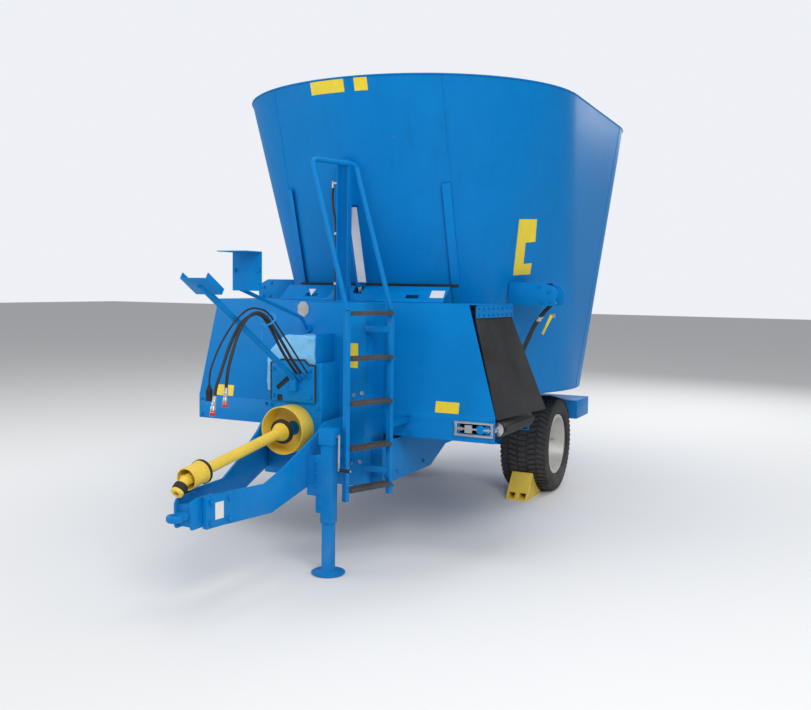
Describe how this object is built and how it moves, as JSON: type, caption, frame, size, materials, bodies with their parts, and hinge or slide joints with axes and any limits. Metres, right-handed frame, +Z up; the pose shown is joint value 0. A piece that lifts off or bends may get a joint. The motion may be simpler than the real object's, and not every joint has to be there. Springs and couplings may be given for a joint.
{
  "type": "trailed feed mixer wagon",
  "caption": "Trailed feed mixer with a tall oval tub, one vertical screw, a front cross conveyor with sliding door, drawbar, parking jack and power shaft.",
  "frame": {"origin": "middle of the whole wagon's box at ground level, under the tub's front half", "axes": "+Z up, -Y towards the hitch (front), +Y rear, +X the wagon's left side, where the conveyor unloads"},
  "size_m": [2.852, 5.956, 3.45],
  "materials": {
    "blue_paint": "gloss paint",
    "light_blue_paint": "gloss paint",
    "yellow_plastic": "satin",
    "black_rubber": "matt",
    "tyre_rubber": "matt",
    "grey_steel": "satin",
    "chrome_rod": "polished",
    "rim_paint": "satin silver paint",
    "dark_tread": "rough anti-slip coat"
  },
  "bodies": {
    "wagon": {"tub_shell": "blue_paint", "tub_floor": "blue_paint", "door_guides": "blue_paint", "door_seal": "black_rubber", "chute_cover": "blue_paint", "mast": "blue_paint", "door_barrel": "blue_paint", "conveyor_frame": "blue_paint", "conveyor_hood": "blue_paint", "conveyor_chain": "black_rubber", "conveyor_rollers": "grey_steel", "takeup_frame": "grey_steel", "flap": "black_rubber", "flap_clamp": "blue_paint", "ladder": "blue_paint", "ladder_treads": "dark_tread", "drive_housing": "blue_paint", "drive_dome": "light_blue_paint", "front_guard": "blue_paint", "drive_tower": "blue_paint", "pto_cup": "yellow_plastic", "drawbar": "blue_paint", "hitch_eye": "blue_paint", "jack_tube": "blue_paint", "jack_crank": "grey_steel", "chassis": "blue_paint", "rear_beam": "blue_paint", "axle": "blue_paint", "gearbox": "blue_paint", "hay_stops": "blue_paint", "hay_stop_hoses": "black_rubber", "plate_bracket": "blue_paint", "hose_arm": "blue_paint", "hose_ring": "light_blue_paint", "chock": "yellow_plastic", "hose_a": "black_rubber", "hose_b": "black_rubber", "cable": "black_rubber", "coupling_a": "grey_steel", "coupling_b": "grey_steel", "cable_plug": "black_rubber"},
    "wheel_left": {"tyre_left": "tyre_rubber", "rim_left": "rim_paint"},
    "wheel_right": {"tyre_right": "tyre_rubber", "rim_right": "rim_paint"},
    "auger": {"auger_core": "light_blue_paint", "auger_flight": "light_blue_paint", "auger_knives": "grey_steel"},
    "door": {"door_plate": "blue_paint", "door_rod": "chrome_rod"},
    "pto_rear": {"pto_rear": "yellow_plastic"},
    "pto_front": {"pto_front": "yellow_plastic"},
    "jack_leg": {"jack_leg": "blue_paint"}
  },
  "joints": [
    {"name": "wheel_left_spin", "type": "hinge", "parent": "wagon", "child": "wheel_left", "pos_m": [0.815, 1.33, 0.448], "axis": [1, 0, 0], "continuous": true},
    {"name": "wheel_right_spin", "type": "hinge", "parent": "wagon", "child": "wheel_right", "pos_m": [-0.815, 1.33, 0.448], "axis": [1, 0, 0], "continuous": true},
    {"name": "auger_spin", "type": "hinge", "parent": "wagon", "child": "auger", "pos_m": [0, 1.33, 1.02], "axis": [0, 0, 1], "continuous": true},
    {"name": "door_slide", "type": "slide", "parent": "wagon", "child": "door", "axis": [0, -0.284, 0.9588], "range_m": [0, 0.6]},
    {"name": "shaft_swing", "type": "hinge", "parent": "wagon", "child": "pto_rear", "pos_m": [-0.025, -1.745, 0.92], "axis": [-1, 0, 0], "range_deg": [0, 20]},
    {"name": "shaft_slide", "type": "slide", "parent": "pto_rear", "child": "pto_front", "axis": [0, -0.9903, -0.1392], "range_m": [0, 0.25]},
    {"name": "jack_slide", "type": "slide", "parent": "wagon", "child": "jack_leg", "axis": [0, 0, 1], "range_m": [0, 0.25]}
  ]
}
